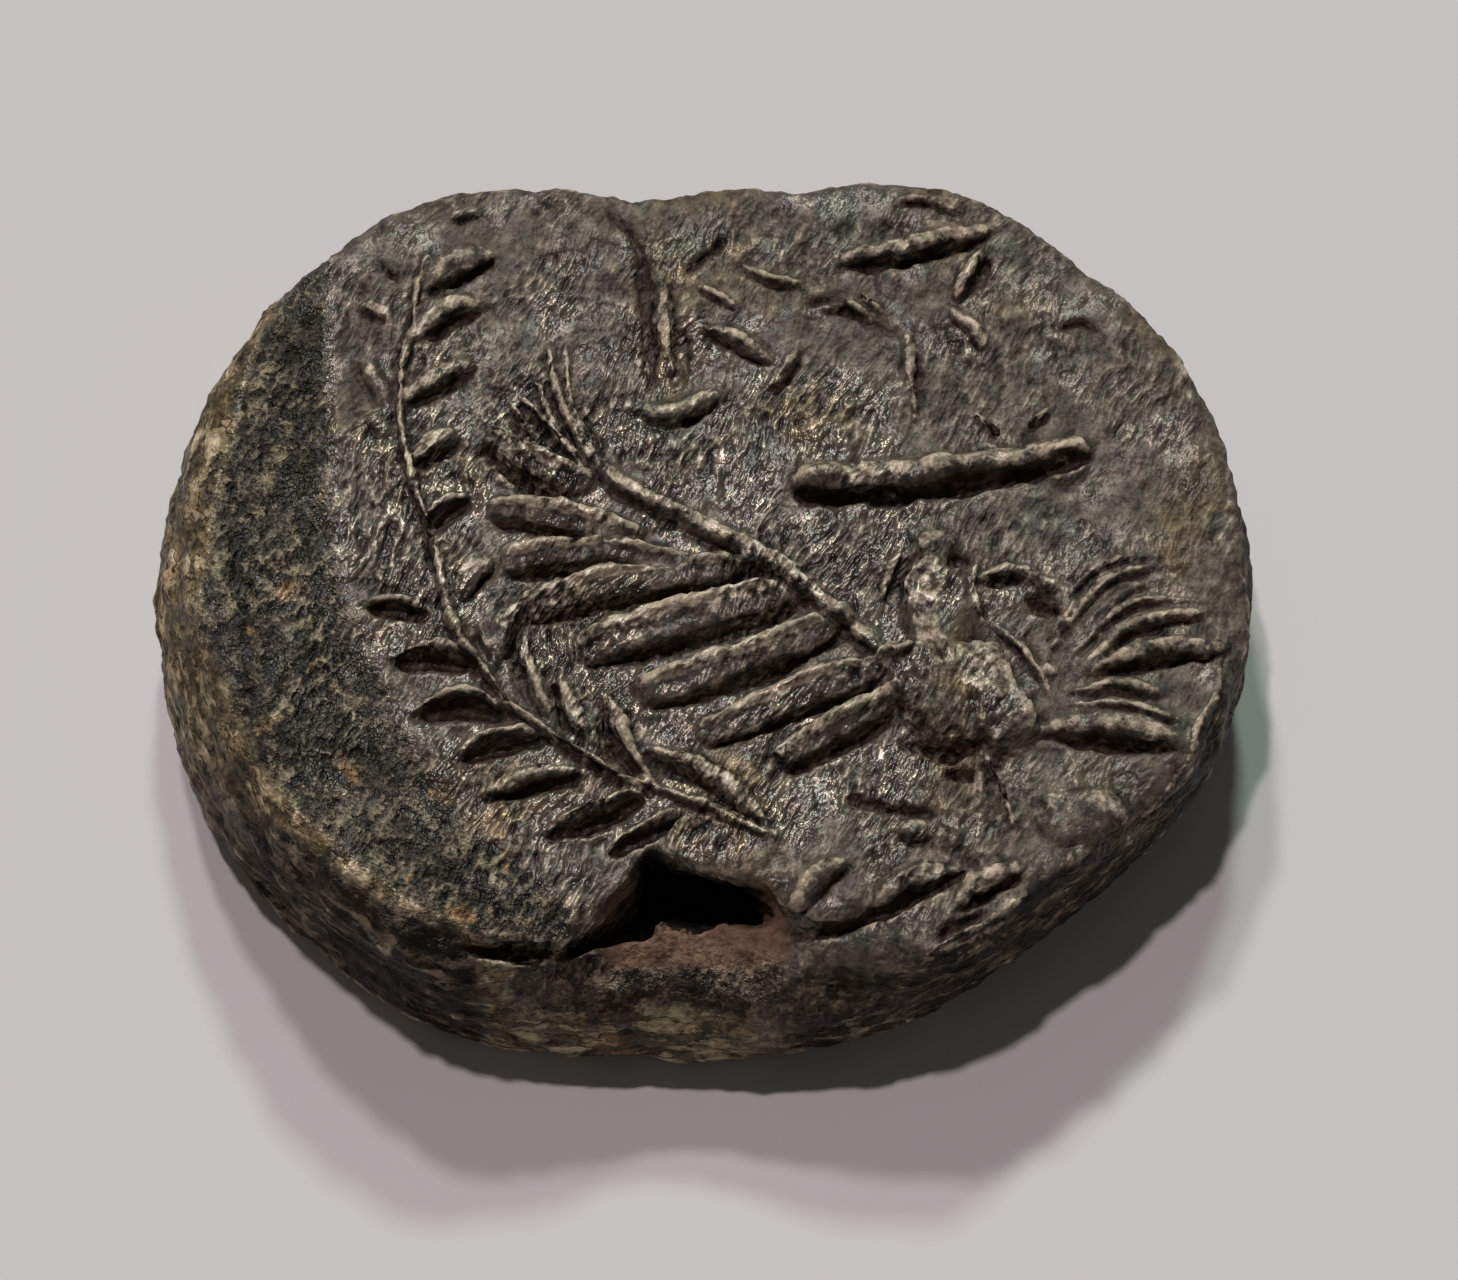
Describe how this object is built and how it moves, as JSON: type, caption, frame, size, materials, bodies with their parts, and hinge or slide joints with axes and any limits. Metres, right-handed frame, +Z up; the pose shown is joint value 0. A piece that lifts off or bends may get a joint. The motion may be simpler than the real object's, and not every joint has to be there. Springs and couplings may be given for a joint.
{
  "type": "lead seal",
  "caption": "Small oval lead seal: a cast lump struck on one face with a leafy branch and a winged figure, torn open at its front edge.",
  "frame": {"origin": "middle of the seal's bounding box, on the flat underside", "axes": "+X to the right across the struck face along the seal's longer side, +Y towards the face's upper edge, +Z up out of the struck face"},
  "size_m": [0.0244, 0.0198, 0.0056],
  "materials": {
    "lead": "old lead with a dark grey-brown patina, tan earth in the hollows and small bright worn points"
  },
  "bodies": {
    "root": {"lead_seal": "lead"}
  },
  "joints": []
}
